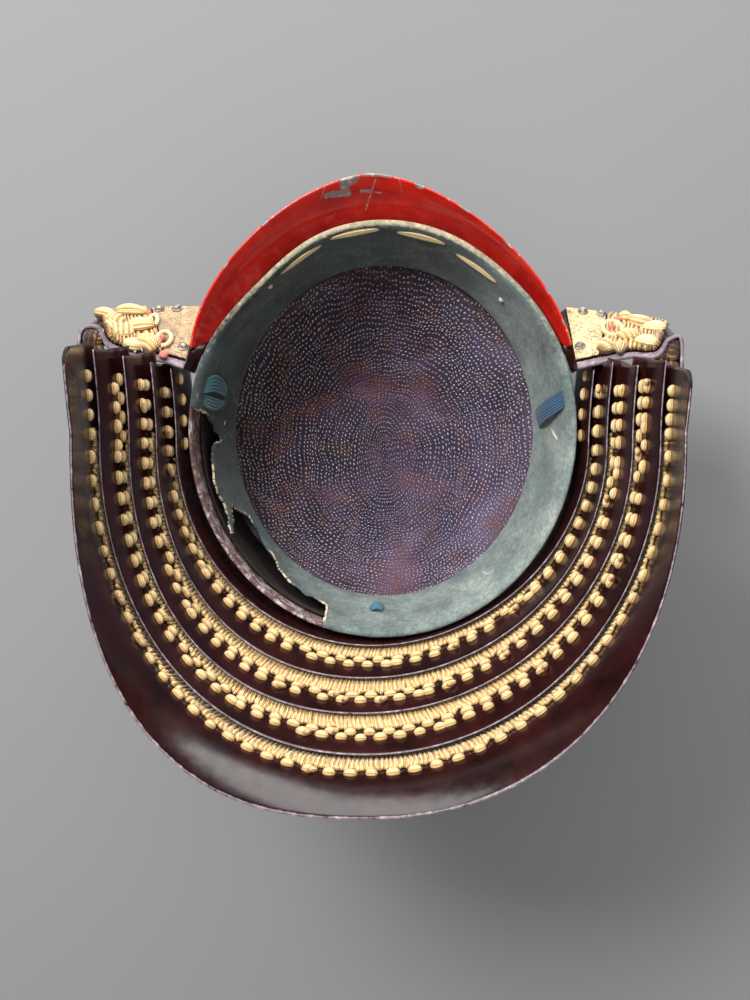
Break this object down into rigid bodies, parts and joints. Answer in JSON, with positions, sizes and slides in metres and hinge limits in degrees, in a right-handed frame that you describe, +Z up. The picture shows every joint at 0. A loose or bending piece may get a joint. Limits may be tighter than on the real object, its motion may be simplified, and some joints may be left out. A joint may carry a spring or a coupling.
{
  "type": "samurai helmet",
  "caption": "Helmet with a ribbed iron bowl, red-lacquered peak, torn suede and quilted lining, laced neck guard and two turned-out wings, lying upside down on its crown.",
  "frame": {"origin": "centre of the bounding box, at the height of the crown ring's flat face", "axes": "+Z up out of the open bowl, +Y towards the front of the helmet, +X along the helmet's width"},
  "size_m": [0.3344, 0.3242, 0.254],
  "materials": {
    "dark_iron": "black-brown russet iron, satin",
    "rusty_iron": "purple-brown rust with pale flaking lacquer",
    "red_lacquer": "vivid red lacquer, semi-gloss, chipped at the crest",
    "suede": "worn grey-green suede with teal patches",
    "quilted_cloth": "indigo cloth with rows of tiny pale running stitches",
    "dark_lacquer": "dark maroon-brown gloss lacquer on rawhide, edges worn to pale lilac",
    "silk_lace": "cream and gold braided silk, aged",
    "printed_leather": "cream leather with a faint stencilled pattern",
    "teal_cord": "teal and dark blue silk cord",
    "dark_metal": "dark patinated metal"
  },
  "bodies": {
    "root": {"crown_ring": "dark_iron", "bowl": "dark_iron", "base_band": "rusty_iron", "peak": "red_lacquer", "lining_band": "suede", "lining_cap": "quilted_cloth", "neck_lame_1": "dark_lacquer", "neck_lame_2": "dark_lacquer", "neck_lame_3": "dark_lacquer", "neck_lame_4": "dark_lacquer", "neck_lame_5": "dark_lacquer", "lacing_2": "silk_lace", "lacing_3": "silk_lace", "lacing_4": "silk_lace", "lacing_5": "silk_lace", "wing_leather_left": "printed_leather", "wing_leather_right": "printed_leather", "wing_lacing_left": "silk_lace", "wing_lacing_right": "silk_lace", "curl_lacing_left": "silk_lace", "curl_lacing_right": "silk_lace", "wing_stud_left_1": "dark_metal", "wing_stud_left_2": "dark_metal", "wing_stud_left_3": "dark_metal", "wing_stud_right_1": "dark_metal", "wing_stud_right_2": "dark_metal", "wing_stud_right_3": "dark_metal", "brow_stitch_1": "silk_lace", "brow_stitch_2": "silk_lace", "brow_stitch_3": "silk_lace", "brow_stitch_4": "silk_lace", "chin_loop_left": "teal_cord", "chin_loop_right": "teal_cord", "chin_loop_rear": "teal_cord"}
  },
  "joints": []
}
